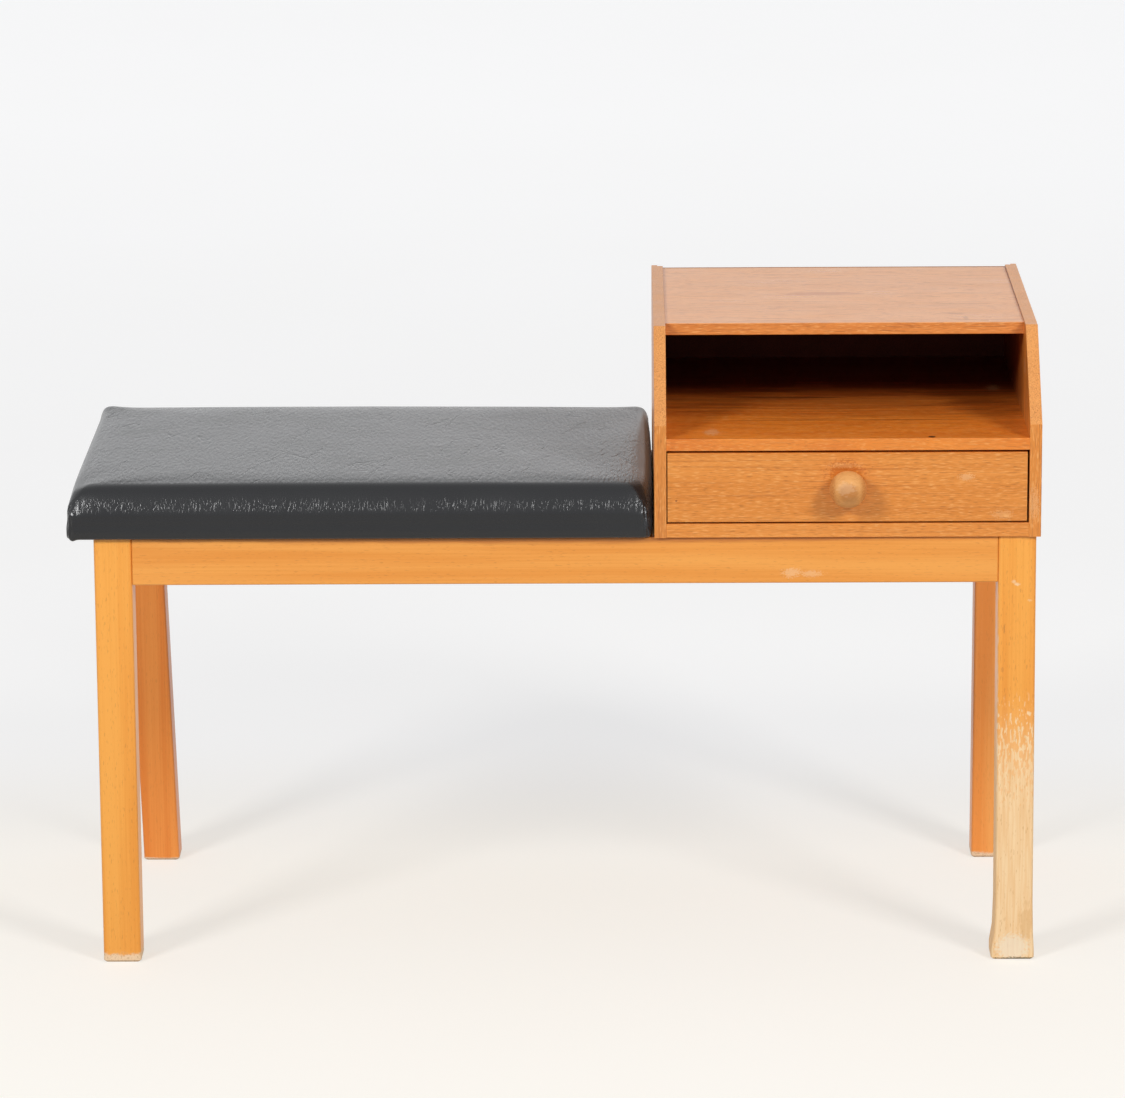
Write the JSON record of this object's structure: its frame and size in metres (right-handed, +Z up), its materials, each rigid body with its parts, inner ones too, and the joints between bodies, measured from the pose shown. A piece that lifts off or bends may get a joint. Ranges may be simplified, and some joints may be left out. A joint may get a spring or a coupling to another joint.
{
  "type": "telephone bench",
  "caption": "Wooden bench with a padded vinyl seat beside a small cabinet that has an open telephone compartment above a drawer.",
  "frame": {"origin": "on the floor, under the middle of the whole box of the closed bench", "axes": "+X along the bench to the cabinet's side, -Y out of the front, +Z up"},
  "size_m": [0.959, 0.4354, 0.6335],
  "materials": {
    "beech_lacquered": "clear honey lacquer over solid beech, worn off the front right leg",
    "beech_plain": "bare or thinly waxed beech",
    "teak_veneer": "satin lacquered teak veneer",
    "plywood": "bare birch plywood",
    "hardboard": "brown hardboard, smooth side in",
    "black_vinyl": "grained black vinyl cloth, worn to a soft sheen",
    "foam": "open cell foam",
    "steel": "plain steel screws"
  },
  "bodies": {
    "bench": {"leg_front_left": "beech_lacquered", "leg_front_right": "beech_lacquered", "leg_rear_left": "beech_lacquered", "leg_rear_right": "beech_lacquered", "front_rail": "beech_lacquered", "rear_rail": "beech_lacquered", "left_end_rail": "beech_lacquered", "right_end_rail": "beech_lacquered", "cross_rail": "beech_plain", "corner_block_front_left": "beech_plain", "corner_block_front_right": "beech_plain", "corner_block_rear_left": "beech_plain", "corner_block_rear_right": "beech_plain", "cabinet_dowels": "beech_plain", "drawer_stops": "beech_plain", "cabinet_left_side": "teak_veneer", "cabinet_right_side": "teak_veneer", "cabinet_top": "teak_veneer", "cabinet_shelf": "teak_veneer", "cabinet_bottom": "teak_veneer", "seat_board": "plywood", "cabinet_back": "hardboard", "seat_cover": "black_vinyl", "seat_foam": "foam", "corner_block_screws": "steel", "seat_screws": "steel", "cabinet_screws": "steel"},
    "drawer": {"drawer_front": "teak_veneer", "drawer_left_side": "beech_plain", "drawer_right_side": "beech_plain", "drawer_back": "beech_plain", "drawer_bottom": "hardboard", "drawer_knob": "beech_plain", "knob_screw": "steel"}
  },
  "joints": [
    {"name": "drawer_slide", "type": "slide", "parent": "bench", "child": "drawer", "axis": [0, -1, 0], "range_m": [0, 0.25]}
  ]
}
